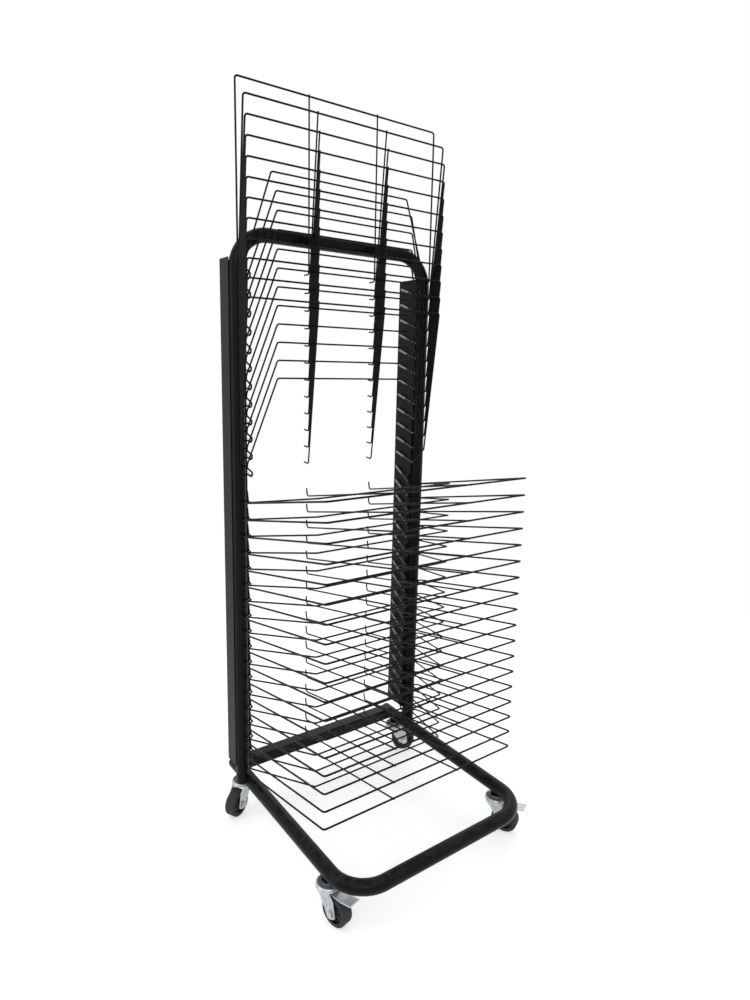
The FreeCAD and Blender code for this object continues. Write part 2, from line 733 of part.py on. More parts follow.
def make_races():
    """The pressed races under the collars, round the kingpins."""
    body = export(new_body("caster_races"), "caster_races")
    races = new_sketch(body, "XY_Plane", COLLAR_Z - S["race_depth"])
    bores = new_sketch(body, "XY_Plane", COLLAR_Z)
    for _, x, y, _ in caster_places():
        circle(races, (x, y), S["race_dia"] / 2)
        circle(bores, (x, y), S["kingpin_dia"] / 2)
    pad(body, races, S["race_depth"])
    pocket(body, bores, S["race_depth"] * 2, both_ways=True)


def make_kingpins():
    """The rivets that the forks swivel on."""
    body = export(new_body("caster_kingpins"), "caster_kingpins")
    head_top = CROWN_Z - S["kingpin_head_gap"]
    head = new_sketch(body, "XY_Plane", head_top - S["kingpin_head_height"])
    shaft = new_sketch(body, "XY_Plane", head_top - S["kingpin_head_height"] / 2)
    for _, x, y, _ in caster_places():
        circle(head, (x, y), S["kingpin_head"] / 2)
        circle(shaft, (x, y), S["kingpin_dia"] / 2)
    pad(body, head, S["kingpin_head_height"])
    pad(body, shaft, COLLAR_Z - head_top + S["kingpin_head_height"] / 2)


def make_fork(label, braked):
    """A pressed fork. Its swivel axis is the body's Z axis, and its wheel trails towards -Y."""
    body = new_body(label)
    inside = S["wheel_width"] + 2 * S["wheel_side_gap"]
    outside = inside + 2 * S["fork_thickness"]
    foot = S["fork_foot"]
    trail = S["caster_trail"]
    crown = new_sketch(body, "XY_Plane", CROWN_Z)
    circle(crown, (0, 0), S["fork_crown"] / 2)
    pad(body, crown, S["fork_thickness"])
    legs = new_sketch(body, "YZ_Plane")
    points = [
        (S["fork_leg_front"], CROWN_TOP_Z),
        (-S["fork_crown"] / 2, CROWN_TOP_Z),
        (-trail - foot, WHEEL_R - foot),
        (-trail + foot, WHEEL_R - foot),
    ]
    outline(legs, points, [0, 0, S["fork_foot_corner"], S["fork_foot_corner"]])
    pad(body, legs, outside, both_ways=True)
    gap = new_sketch(body, "YZ_Plane")
    rectangle(gap, (-trail, CROWN_Z / 2), S["fork_crown"] * 3, CROWN_Z)
    pocket(body, gap, inside, both_ways=True)
    swivel = new_sketch(body, "XY_Plane", CROWN_Z)
    circle(swivel, (0, 0), S["kingpin_dia"] / 2 + S["kingpin_fit"])
    pocket(body, swivel, S["fork_thickness"] * 4, both_ways=True)
    bores = new_sketch(body, "YZ_Plane")
    circle(bores, (-trail, WHEEL_R), S["axle_dia"] / 2)
    if braked:
        pin = S["pedal_pin_dia"] / 2 + S["pedal_pin_fit"]
        circle(bores, (-S["pedal_pin_trail"], S["pedal_pin_z"]), pin)
    pocket(body, bores, outside * 2, both_ways=True)
    return body


def make_hub(label):
    """The moulded wheel centre, turned about the body's X axis."""
    body = new_body(label)
    half = S["wheel_width"] / 2
    boss = half + S["wheel_side_gap"] - S["hub_end_gap"]
    dish = half - S["hub_dish"]
    bore = S["axle_dia"] / 2 + S["axle_fit"]
    boss_r = bore + S["hub_boss_wall"]
    rim = S["hub_dia"] / 2
    rim_inside = rim - S["hub_rim_wall"]
    right = [
        (boss, bore),
        (boss, boss_r),
        (dish, boss_r),
        (dish, rim_inside),
        (half, rim_inside + S["hub_rim_slope"]),
        (half, rim),
    ]
    section = new_sketch(body, "XY_Plane")
    outline(section, right + [(-x, y) for x, y in reversed(right)])
    revolve(body, section)
    return body


def make_tyre(label):
    """The rubber tyre on the wheel centre."""
    body = new_body(label)
    half = S["wheel_width"] / 2
    rim = S["hub_dia"] / 2
    section = new_sketch(body, "XY_Plane")
    points = [(-half, rim), (half, rim), (half, WHEEL_R), (-half, WHEEL_R)]
    outline(section, points, [0, 0, S["tread_corner"], S["tread_corner"]])
    revolve(body, section)
    return body


def make_axle(label):
    """The wheel bolt with its nut, along the body's X axis."""
    body = new_body(label)
    leg = S["wheel_width"] / 2 + S["wheel_side_gap"] + S["fork_thickness"]
    height = S["axle_head_height"]
    shaft = new_sketch(body, "YZ_Plane", -leg - height / 2)
    circle(shaft, (0, 0), S["axle_dia"] / 2)
    pad(body, shaft, leg * 2 + height * 2)
    for start in (-leg - height, leg):
        head = new_sketch(body, "YZ_Plane", start)
        hexagon(head, (0, 0), S["axle_head"])
        pad(body, head, height)
    return body


def make_pedal(label):
    """A brake pedal on its pin, in the frame of its fork."""
    body = new_body(label)
    pin_spot = (-S["pedal_pin_trail"], S["pedal_pin_z"])
    thick = S["pedal_thickness"]
    root_y, root_z = pin_spot
    bend_y = -S["shoe_trail"] - S["shoe_length"] / 2
    tip_y, tip_z = -S["pedal_reach"], S["pedal_tip_z"]
    plate = new_sketch(body, "YZ_Plane")
    points = [
        (root_y + S["pedal_root"], root_z),
        (bend_y, root_z),
        (tip_y, tip_z),
        (tip_y, tip_z + thick),
        (bend_y, root_z + thick),
        (root_y + S["pedal_root"], root_z + thick),
    ]
    outline(plate, points)
    pad(body, plate, S["pedal_width"], both_ways=True)
    boss = new_sketch(body, "YZ_Plane")
    circle(boss, pin_spot, S["pedal_boss"])
    pad(body, boss, S["pedal_width"], both_ways=True)
    shoe = new_sketch(body, "YZ_Plane")
    half = S["shoe_length"] / 2
    middle = -S["shoe_trail"]
    outline(shoe, [
        (middle - half, root_z + thick / 2),
        (middle - half, S["shoe_z"] - S["shoe_slope"]),
        (middle + half, S["shoe_z"] + S["shoe_slope"]),
        (middle + half, root_z + thick / 2),
    ])
    pad(body, shoe, S["shoe_width"], both_ways=True)
    pin = new_sketch(body, "YZ_Plane")
    circle(pin, pin_spot, S["pedal_pin_dia"] / 2)
    fork_width = S["wheel_width"] + 2 * S["wheel_side_gap"] + 2 * S["fork_thickness"]
    pad(body, pin, fork_width + 2 * S["pedal_pin_head"], both_ways=True)
    return body


def make_casters():
    """The four casters: forks, wheels, tyres and axles, with a brake pedal on the front two."""
    forks = {True: make_fork("fork_pattern_braked", True), False: make_fork("fork_pattern", False)}
    patterns = {"hub": make_hub("hub_pattern"), "tyre": make_tyre("tyre_pattern")}
    patterns["axle"] = make_axle("axle_pattern")
    pedal = make_pedal("pedal_pattern")
    for name, x, y, turn in caster_places():
        angle = turn.number
        braked = name.startswith("front")
        fork = export(clone(forks[braked], f"caster_fork_{name}"), f"caster_fork_{name}")
        place(fork, x, y, 0, angle=angle)
        trail = S["caster_trail"].number
        wheel_x = float(x) + trail * math.sin(math.radians(angle))
        wheel_y = float(y) - trail * math.cos(math.radians(angle))
        for part in ("hub", "tyre", "axle"):
            piece = export(clone(patterns[part], f"caster_{part}_{name}"), f"caster_{part}_{name}")
            place(piece, wheel_x, wheel_y, WHEEL_R, angle=angle)
        if braked:
            piece = export(clone(pedal, f"brake_pedal_{name}"), f"brake_pedal_{name}")
            place(piece, x, y, 0, angle=angle)


# ---------------------------------------------------------------- whole rack

def check_document():
    """Stop if any feature failed or any sub-part has no sound shape."""
    DOC.recompute()
    for thing in DOC.Objects:
        if "Invalid" in thing.State or "Error" in thing.State:
            raise RuntimeError(f"{thing.Name} did not build")
    for thing in EXPORTS:
        shape = thing.Shape
        if shape.isNull() or not shape.isValid() or not shape.Solids:
            raise RuntimeError(f"{thing.Label} has no sound shape")


def main():
    """Build every sub-part and write one STEP file for each."""
    make_base_tube()
    make_upright_tube()
    make_rear_crossbar()
    make_tube_end_plugs()
    make_channel(-1, "channel_left")
    make_channel(1, "channel_right")
    leans = make_shelves()
    make_springs(-1, "springs_left", leans)
    make_springs(1, "springs_right", leans)
    make_mount_bosses()
    make_races()
    make_stems()
    make_kingpins()
    make_casters()
    check_document()
    os.makedirs("parts", exist_ok=True)
    for thing in EXPORTS:
        thing.Shape.exportStep(os.path.join("parts", f"{thing.Label}.step"))
        print(thing.Label, len(thing.Shape.Solids), round(thing.Shape.Volume, 1))


main()
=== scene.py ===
"""Wire-shelf drying rack on casters: finishes, springs, welds, wheels and a plain studio."""
import json
import math

import bmesh
import bpy
import numpy as np
from mathutils import Matrix, Vector


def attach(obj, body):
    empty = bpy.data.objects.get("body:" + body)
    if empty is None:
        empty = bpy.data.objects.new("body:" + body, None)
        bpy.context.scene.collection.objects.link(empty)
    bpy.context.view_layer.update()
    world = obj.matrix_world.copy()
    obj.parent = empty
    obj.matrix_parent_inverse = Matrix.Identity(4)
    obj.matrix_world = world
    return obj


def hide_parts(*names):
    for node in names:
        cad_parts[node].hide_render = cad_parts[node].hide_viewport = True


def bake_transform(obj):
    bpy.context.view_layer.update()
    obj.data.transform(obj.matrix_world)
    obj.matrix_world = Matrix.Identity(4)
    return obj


bl_info = {
    "name": "Drying Rack",
    "version": (1, 0, 0),
    "blender": (4, 5, 0),
    "location": "View3D > Sidebar > Drying Rack",
    "description": "Dresses a wire-shelf drying rack over its packed frame",
    "category": "Object",
}

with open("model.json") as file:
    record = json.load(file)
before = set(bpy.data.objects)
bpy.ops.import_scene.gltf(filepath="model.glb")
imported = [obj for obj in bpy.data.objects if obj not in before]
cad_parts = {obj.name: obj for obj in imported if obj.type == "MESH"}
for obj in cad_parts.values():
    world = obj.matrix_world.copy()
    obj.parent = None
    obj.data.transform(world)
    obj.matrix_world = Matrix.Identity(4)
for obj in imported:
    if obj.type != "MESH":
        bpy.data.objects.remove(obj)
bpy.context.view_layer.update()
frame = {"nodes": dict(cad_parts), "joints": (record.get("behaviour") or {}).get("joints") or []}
NODES = frame["nodes"]
JOINTS = {joint["name"]: joint for joint in frame["joints"]}

MM = 0.001
SHELVES = sum(name.startswith("wire_shelf_") for name in NODES)
RAISED = sum(joint["name"].startswith("hinge_shelf_") and joint["range_deg"][0] < 0
             for joint in frame["joints"])
CORNERS = ("front_left", "front_right", "rear_left", "rear_right")
BRAKED = CORNERS[:2]

# Shelf sizes in millimetres, in a shelf's own frame: X along the hinge, -Y forward.
WIRE_R = 1.6
TAIL_HEIGHT = 21.0
THROAT_X = 186.0
SHELF_REACH = 305.0
BRACE_REACH = 174.0
BRACE_ROOT = (196.0, -17.09)
RUNNER_X = 72.0
HOOK_REACH = 13.5
SPOT_SHAPE = (1.25, 1.25, 0.86)

# How far a lowered shelf stands up, and how far a following shelf's range goes past its travel, in degrees.
LOWERED_TILT = 10.8
FOLLOWER_SLACK = 0.01

# Shelf spring sizes in millimetres. Its hole in the channel is behind and above the hinge.
SPRING_HOLE = (41.0, 17.0)
SPRING_HOOK = ((6.5, 0.0), (1.6, 0.0), (0.5, 0.3), (0.0, 1.4))
HOLE_EDGE = 1.1
SPRING_LEAD = 4.0
SPRING_COIL = 25.0
COIL_NECK = 1.2
COIL_SHOULDER = 0.5
STRETCH_START = 2.0
BLEND_START = 1.5
WIRE_GAP = 0.15

# Frame sizes in millimetres.
TUBE_R = 12.5
UPRIGHT_X = 205.0
UPRIGHT_Y = 151.25
ARM_X = 192.0
ARM_Z = 82.5
CROSSBAR_Y = 201.25
CROSSBAR_Z = 86.0
CROSSBAR_HALF = 11.0
BOSS_TOP_Z = 70.0

# Weld places in millimetres. The stitches hold the channels and the seams hold the bosses.
BAR_WELD_STOP = 3.0
SEAM_OUT = 5.0
SEAM_HALF = 8.5
STITCH_HEIGHTS = (150.0, 380.0, 610.0, 840.0, 1000.0)
STITCH_LENGTH = 22.0

# Caster sizes in millimetres, in the caster's own frame: its swivel is Z and its wheel trails to -Y.
WHEEL_Z = 25.0
CASTER_TRAIL = 20.0
RACE_Z = 61.3
CROWN_TOP_Z = 61.0
CROWN_R = 21.0
KINGPIN_HOLE_R = 4.1
SHEET_TOP_Z = 59.0
FORK_SHEET = 2.5
FORK_HALF = 14.0
FORK_FRONT = 14.0
FORK_FOOT = 9.0
FORK_FOOT_Z = 16.2
TOE_Z = 30.0
TOE_R = 14.0
SHOULDER = 13.0
APRON_DROP = 4.6
APRON_DRAW = 1.1
RIB_R = 1.3
RIB_TOP_Z = 46.0
RIB_DROP = 13.0
PIN_Y = -13.0
PIN_Z = 53.6

# Pedal grip sizes in millimetres. The tread rises from its start towards its tip.
TREAD_START = (37.0, 56.1)
TREAD_SLOPE = 4.4 / 21.0
GRIP_FIRST = 41.5
GRIP_PITCH = 4.3
GRIP_HALF = 8.5
GRIP_R = 0.7

# The camera's angles in degrees, its place in metres, its lens in millimetres and its shift.
CAMERA_AZIMUTH = 35.65
CAMERA_ELEVATION = -10.49
CAMERA_ROLL = 1.2
CAMERA_PLACE = (-0.6915, -0.9068, 0.8735)
CAMERA_LENS = 23.6
CAMERA_SHIFT = (0.0115, -0.0117)

# Floor sizes in metres: where it ends, and between which distances it fades out.
FLOOR_R = 6.0
FLOOR_FADE = (0.7, 2.0)

# How much of its whiteness the floor shows on its own, so that only a faint shadow is left on it.
FLOOR_LIFT = 0.42


# ---------------------------------------------------------------- shader expressions

class Value:
    """A number socket that can be used in a Python sum."""

    def __init__(self, graph, socket):
        self.graph = graph
        self.socket = socket

    def math(self, operation, *terms):
        settings = {"operation": operation}
        node = self.graph.node("ShaderNodeMath", settings, dict(enumerate(terms)))
        return Value(self.graph, node.outputs[0])

    def __add__(self, other):
        return self.math("ADD", self, other)

    def __sub__(self, other):
        return self.math("SUBTRACT", self, other)

    def __rsub__(self, other):
        return self.math("SUBTRACT", other, self)

    def __mul__(self, other):
        return self.math("MULTIPLY", self, other)

    __radd__ = __add__
    __rmul__ = __mul__

    def most(self, other):
        return self.math("MAXIMUM", self, other)

    def root(self):
        return self.math("SQRT", self)

    def step(self, low, high):
        """0 below low, 1 above high and smooth in between."""
        settings = {"interpolation_type": "SMOOTHSTEP"}
        node = self.graph.node("ShaderNodeMapRange", settings, {0: self, 1: low, 2: high})
        return Value(self.graph, node.outputs[0])


class Graph:
    """The nodes of a material or a world."""

    def __init__(self, tree):
        self.tree = tree

    def node(self, kind, settings=None, inputs=None):
        """Add a node: its settings first, then the values or links of its sockets."""
        made = self.tree.nodes.new(kind)
        for key, value in (settings or {}).items():
            setattr(made, key, value)
        for key, value in (inputs or {}).items():
            self.feed(made.inputs[key], value)
        return made

    def feed(self, socket, value):
        """Link a socket, or set it when the value is plain."""
        if isinstance(value, Value):
            value = value.socket
        if isinstance(value, bpy.types.NodeSocket):
            self.tree.links.new(value, socket)
        else:
            socket.default_value = value

    def seen(self):
        """1 to the camera, in mirrors and through glass, and 0 to other light."""
        path = self.node("ShaderNodeLightPath")
        rays = ("Is Camera Ray", "Is Glossy Ray", "Is Transmission Ray")
        camera, glossy, through = (Value(self, path.outputs[ray]) for ray in rays)
        return camera.most(glossy).most(through)


class Finish(Graph):
    """A material being made, with one Principled shader."""

    def __init__(self, name, **constants):
        self.material = bpy.data.materials.new(name)
        self.material.use_nodes = True
        super().__init__(self.material.node_tree)
        self.shader = self.tree.nodes["Principled BSDF"]
        self.place = self.node("ShaderNodeTexCoord").outputs["Object"]
        for socket, value in constants.items():
            self.shader.inputs[socket.replace("_", " ")].default_value = value

    def stretched(self, x, y, z):
        """Object coordinates scaled along each axis."""
        settings = {"operation": "MULTIPLY"}
        node = self.node("ShaderNodeVectorMath", settings, {0: self.place, 1: (x, y, z)})
        return node.outputs[0]

    def noise(self, scale, detail=3.0, rough=0.5, at=None):
        """Cloudy noise between 0 and 1, with its scale in cycles per metre."""
        inputs = {"Vector": at or self.place, "Scale": scale, "Detail": detail, "Roughness": rough}
        return Value(self, self.node("ShaderNodeTexNoise", None, inputs).outputs[0])

    def blend(self, factor, first, second):
        """A colour between two colours."""
        inputs = {0: factor, 6: rgba(first), 7: rgba(second)}
        return self.node("ShaderNodeMix", {"data_type": "RGBA"}, inputs).outputs[2]

    def axes(self, vector):
        """The three parts of a vector."""
        node = self.node("ShaderNodeSeparateXYZ", None, {0: vector})
        return [Value(self, socket) for socket in node.outputs]

    def facing_up(self):
        """1 on surfaces that look up and 0 on the rest."""
        normal = self.node("ShaderNodeNewGeometry").outputs["Normal"]
        return self.axes(normal)[2].step(0.45, 1.0)

    def bump(self, height, strength, distance):
        """Raise the surface by a height between 0 and 1 times the distance in metres."""
        inputs = {"Height": height, "Strength": strength, "Distance": distance}
        node = self.node("ShaderNodeBump", None, inputs)
        self.feed(self.shader.inputs["Normal"], node.outputs[0])

    def surface(self, color, roughness):
        """Connect what varies over the surface."""
        self.feed(self.shader.inputs["Base Color"], color)
        self.feed(self.shader.inputs["Roughness"], roughness)
        return self.material


def rgba(color):
    """A colour as a socket takes it."""
    if isinstance(color, bpy.types.NodeSocket):
        return color
    return (*color, 1.0)


def shade(color, factor):
    """A colour made lighter or darker."""
    return tuple(channel * factor for channel in color)


# ---------------------------------------------------------------- finishes

def powder_coat(name, color, gloss):
    """Black powder coat: fine orange peel, faint rub marks and a little dust on top."""
    coat = Finish(name, Specular_IOR_Level=0.1)
    peel = coat.noise(900.0, 2.0)
    cloud = coat.noise(11.0, 4.0)
    rubbed = coat.noise(130.0, 7.0, 0.7).step(0.58, 0.74) * cloud.step(0.42, 0.62)
    dust = coat.facing_up() * coat.noise(70.0, 5.0, 0.65).step(0.35, 0.75)
    tone = coat.blend(cloud.step(0.3, 0.7), shade(color, 0.85), shade(color, 1.2))
    tone = coat.blend(rubbed * 0.5, tone, shade(color, 2.6))
    tone = coat.blend(dust * 0.16, tone, (0.13, 0.125, 0.115))
    coat.bump(peel, 0.16, 0.0003)
    return coat.surface(tone, gloss + cloud * 0.12 + rubbed * 0.14 + dust * 0.18)


def wire_coat(name, color):
    """Thin satin coating on steel wire, a little uneven along the wire."""
    coat = Finish(name, Specular_IOR_Level=0.1)
    lumps = coat.noise(420.0, 3.0)
    cloud = coat.noise(24.0, 4.0)
    chipped = coat.noise(210.0, 6.0, 0.72).step(0.67, 0.72) * cloud.step(0.5, 0.66)
    tone = coat.blend(cloud.step(0.3, 0.7), shade(color, 0.8), shade(color, 1.35))
    tone = coat.blend(chipped * 0.6, tone, (0.09, 0.088, 0.085))
    coat.bump(lumps, 0.25, 0.0002)
    return coat.surface(tone, 0.3 + lumps * 0.14 + chipped * 0.2)


def zinc(name, color, tint):
    """Bright zinc plate, cloudy, with a faint passivation tint and rolling marks."""
    plate = Finish(name, Metallic=1.0)
    cloud = plate.noise(55.0, 5.0, 0.6)
    patches = plate.noise(140.0, 3.0).step(0.48, 0.66)
    marks = plate.noise(60.0, 4.0, 0.6, at=plate.stretched(1.0, 1.0, 14.0))
    stain = plate.noise(90.0, 6.0, 0.7).step(0.6, 0.76)
    tone = plate.blend(cloud.step(0.3, 0.7), shade(color, 0.78), shade(color, 1.1))
    tone = plate.blend(patches * 0.3, tone, tint)
    tone = plate.blend(stain * 0.5, tone, shade(color, 0.4))
    plate.bump(marks, 0.2, 0.0002)
    return plate.surface(tone, 0.24 + cloud * 0.18 + stain * 0.25)


def spring_steel(name, color):
    """Drawn spring wire, bright with a grey bloom."""
    steel = Finish(name, Metallic=1.0)
    cloud = steel.noise(160.0, 4.0)
    drawn = steel.noise(700.0, 3.0)
    tone = steel.blend(cloud.step(0.35, 0.7), shade(color, 0.7), shade(color, 1.15))
    steel.bump(drawn, 0.1, 0.0001)
    return steel.surface(tone, 0.16 + cloud * 0.16)


def tyre_rubber(name, color, dust_color):
    """Grey rubber: matt, dusty on the tread, with a rubbed running band."""
    rubber = Finish(name, Specular_IOR_Level=0.35)
    x, y, z = rubber.axes(rubber.place)
    tread = (y * y + z * z).root().step(22.8 * MM, 24.6 * MM)
    band = 1 - (x * x).root().step(3.5 * MM, 7.5 * MM)
    specks = rubber.noise(900.0, 5.0, 0.7)
    patches = rubber.noise(120.0, 4.0).step(0.38, 0.7)
    dusty = tread * (0.35 + band * 0.5) * patches
    tone = rubber.blend(specks.step(0.35, 0.7), shade(color, 0.8), shade(color, 1.3))
    tone = rubber.blend(dusty * 0.6, tone, dust_color)
    rubber.bump(specks, 0.3, 0.0002)
    return rubber.surface(tone, 0.52 + dusty * 0.25 + specks * 0.1)


def moulded_plastic(name, color):
    """Black moulded plastic with a fine spark-eroded grain."""
    plastic = Finish(name, Specular_IOR_Level=0.4)
    grain = plastic.noise(1500.0, 2.0)
    cloud = plastic.noise(60.0, 4.0)
    tone = plastic.blend(cloud.step(0.35, 0.7), shade(color, 0.85), shade(color, 1.4))
    plastic.bump(grain, 0.3, 0.0001)
    return plastic.surface(tone, 0.42 + cloud * 0.16)


def weld_metal(name, color):
    """Coated weld beads, rippled and a little rougher than the tube."""
    weld = Finish(name, Specular_IOR_Level=0.1)
    lumps = weld.noise(500.0, 4.0)
    tone = weld.blend(lumps.step(0.3, 0.7), shade(color, 0.7), shade(color, 1.6))
    weld.bump(lumps, 0.5, 0.0003)
    return weld.surface(tone, 0.34 + lumps * 0.2)


def finish(name):
    """A finish of the rack by name, made the first time that it is asked for."""
    colors = bpy.context.scene.rack_colors
    made = bpy.data.materials.get(name)
    if made is not None:
        return made
    if name == "frame_coat":
        return powder_coat(name, colors.frame, 0.26)
    if name == "channel_coat":
        return powder_coat(name, colors.frame, 0.34)
    if name == "wire_coat":
        return wire_coat(name, colors.wire)
    if name == "weld_coat":
        return weld_metal(name, colors.frame)
    if name == "zinc_plate":
        return zinc(name, colors.zinc, colors.zinc_tint)
    if name == "spring_steel":
        return spring_steel(name, colors.spring)
    if name == "tyre_rubber":
        return tyre_rubber(name, colors.rubber, colors.dust)
    if name == "black_plastic":
        return moulded_plastic(name, colors.plastic)
    raise ValueError(f"the rack has no finish named {name}")


# ---------------------------------------------------------------- mesh helpers

def dress(node, name):
    """Give a frame node its finish."""
    data = NODES[node].data
    data.materials.clear()
    data.materials.append(finish(name))


def new_mesh(name, points, faces, material):
    """A smooth mesh from points in metres."""
    mesh = bpy.data.meshes.new(name)
    mesh.from_pydata([tuple(point) for point in points], [], [list(face) for face in faces])
    solid = bmesh.new()
    solid.from_mesh(mesh)
    bmesh.ops.recalc_face_normals(solid, faces=solid.faces)
    solid.to_mesh(mesh)
    solid.free()
    mesh.polygons.foreach_set("use_smooth", [True] * len(mesh.polygons))
    mesh.materials.append(finish(material))
    mesh.update()
    return mesh


def new_piece(name, mesh, body, place=None):
    """An object that shows a mesh and rides on a body, if it has just one."""
    piece = bpy.data.objects.new(name, mesh)
    bpy.context.scene.collection.objects.link(piece)
    if place is not None:
        piece.matrix_world = place
    if body is not None:
        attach(piece, body)
    return piece


def tube(line, radii, sides):
    """Points and faces of a round tube along a line, closed at both ends."""
    line = np.asarray(line, float)
    radii = np.broadcast_to(np.asarray(radii, float), len(line))
    along = np.gradient(line, axis=0)
    along /= np.linalg.norm(along, axis=1)[:, None]
    across = np.cross(along[0], (0.31, 0.52, 0.79))
    turns = np.arange(sides) * 2 * math.pi / sides
    points = []
    for spot, direction, radius in zip(line, along, radii):
        across = across - direction * (across @ direction)
        across /= np.linalg.norm(across)
        other = np.cross(direction, across)
        ring = np.outer(np.cos(turns), across) + np.outer(np.sin(turns), other)
        points.append(spot + ring * radius)
    faces = []
    for ring in range(len(line) - 1):
        for side in range(sides):
            near = ring * sides + side
            next_near = ring * sides + (side + 1) % sides
            faces.append((near, next_near, next_near + sides, near + sides))
    last = (len(line) - 1) * sides
    faces.append(tuple(reversed(range(sides))))
    faces.append(tuple(range(last, last + sides)))
    return np.concatenate(points), faces


def joined(parts):
    """Several sets of points and faces as one."""
    points, faces, count = [], [], 0
    for part_points, part_faces in parts:
        points.append(np.asarray(part_points, float))
        faces.extend([tuple(index + count for index in face) for face in part_faces])
        count += len(part_points)
    return np.concatenate(points), faces


def lathe(profile, steps):
    """Points and faces of a closed profile turned about X. A profile point is (x, radius)."""
    turns = np.arange(steps) * 2 * math.pi / steps
    points = [(x, r * math.cos(turn), r * math.sin(turn)) for turn in turns for x, r in profile]
    count = len(profile)
    faces = []
    for step in range(steps):
        ahead = (step + 1) % steps
        for index in range(count):
            following = (index + 1) % count
            faces.append((
                step * count + index,
                step * count + following,
                ahead * count + following,
                ahead * count + index,
            ))
    return np.array(points), faces


def shell(outside, inside):
    """Points and faces of a closed sheet between two grids of points, given as rows."""
    rows, columns = len(outside), len(outside[0])
    points = [point for grid in (outside, inside) for row in grid for point in row]
    under = rows * columns
    faces = []
    for row in range(rows - 1):
        for column in range(columns - 1):
            near = row * columns + column
            face = (near, near + 1, near + columns + 1, near + columns)
            faces.append(face)
            faces.append(tuple(index + under for index in reversed(face)))
    around = list(range(columns - 1))
    around += [row * columns + columns - 1 for row in range(rows - 1)]
    around += [(rows - 1) * columns + column for column in range(columns - 1, 0, -1)]
    around += [row * columns for row in range(rows - 1, 0, -1)]
    for here, ahead in zip(around, around[1:] + around[:1]):
        faces.append((ahead, here, here + under, ahead + under))
    return np.array(points), faces


def rounded(corners, radii, steps=5):
    """A closed profile with its corners rounded."""
    outline = []
    count = len(corners)
    for index, (corner, radius) in enumerate(zip(corners, radii)):
        corner = Vector(corner)
        back = (Vector(corners[index - 1]) - corner).normalized()
        ahead = (Vector(corners[(index + 1) % count]) - corner).normalized()
        start, end = corner + back * radius, corner + ahead * radius
        for step in range(steps + 1 if radius else 1):
            t = step / steps
            outline.append(tuple(start * (1 - t) ** 2 + corner * 2 * t * (1 - t) + end * t ** 2))
    return outline


def bead(line, width, seed):
    """A weld bead along a line in millimetres, with ripples as a torch leaves them."""
    line = np.asarray(line, float)
    lengths = np.concatenate([[0], np.cumsum(np.linalg.norm(np.diff(line, axis=0), axis=1))])
    count = max(8, int(lengths[-1] / 0.45))
    spots = np.linspace(0, lengths[-1], count)
    even = np.stack([np.interp(spots, lengths, line[:, axis]) for axis in range(3)], axis=1)
    random = np.random.default_rng(seed)
    ripple = 1 + 0.16 * np.abs(np.sin(spots * math.pi / 1.5)) + random.normal(0, 0.03, count)
    ends = np.clip(np.minimum(spots, lengths[-1] - spots) / width, 0.25, 1) ** 0.5
    return tube(even * MM, width * MM * ripple * ends, 10)


def weld_spot(centre, size, seed):
    """A small lumpy weld spot in millimetres, round a wire crossing."""
    random = np.random.default_rng(seed)
    ball = bmesh.new()
    bmesh.ops.create_icosphere(ball, subdivisions=3, radius=1.0)
    ball.verts.ensure_lookup_table()
    phase = random.uniform(0, 6, 3)
    points = []
    for vert in ball.verts:
        x, y, z = vert.co
        swell = 1 + 0.1 * math.sin(4 * x + phase[0]) * math.cos(5 * y + phase[1])
        spread = 1 - 0.7 * abs(x * y)
        points.append([c + v * s * swell * spread for c, v, s in zip(centre, (x, y, z), size)])
    faces = [tuple(vert.index for vert in face.verts) for face in ball.faces]
    ball.free()
    return np.array(points) * MM, faces


# ---------------------------------------------------------------- where things are

def shelf_name(index):
    """Two-digit number of a shelf, counted from the top."""
    return f"{index + 1:02d}"


def hinge(index):
    """The middle of a shelf's hinge axis, in metres."""
    return Vector(JOINTS[f"hinge_shelf_{shelf_name(index)}"]["pos_m"])


def shelf_lean(index):
    """How far a shelf stands up at rest, in degrees."""
    low = JOINTS[f"hinge_shelf_{shelf_name(index)}"]["range_deg"][0]
    if index >= RAISED:
        return LOWERED_TILT
    if index == 0:
        return LOWERED_TILT - low
    return LOWERED_TILT - low - FOLLOWER_SLACK


def shelf_place(index):
    """The matrix that takes a shelf's own frame to the rack's."""
    turn = Matrix.Rotation(math.radians(-shelf_lean(index)), 4, "X")
    return Matrix.Translation(hinge(index)) @ turn


def caster_turn(corner):
    """Which way a wheel trails at rest, from -Y towards +X, in radians."""
    axis = JOINTS[f"roll_{corner}"]["axis"]
    return math.atan2(axis[1], axis[0])


def caster_place(corner):
    """The matrix that takes a caster's own frame, on the floor under its swivel, to the rack's."""
    swivel = Vector(JOINTS[f"swivel_{corner}"]["pos_m"])
    turn = Matrix.Rotation(caster_turn(corner), 4, "Z")
    return Matrix.Translation((swivel.x, swivel.y, 0)) @ turn


def wheel_place(corner):
    """The matrix that takes a wheel's own frame, about its axle, to the rack's."""
    return caster_place(corner) @ Matrix.Translation((0, -CASTER_TRAIL * MM, WHEEL_Z * MM))


# ---------------------------------------------------------------- properties

def length(name, description, default):
    """A length property in metres."""
    return bpy.props.FloatProperty(
        name=name, description=description, default=default, min=0.0, unit="LENGTH", precision=5)


def color(name, description, default):
    """A colour property."""
    return bpy.props.FloatVectorProperty(
        name=name, description=description, default=default, min=0.0, max=1.0, subtype="COLOR")


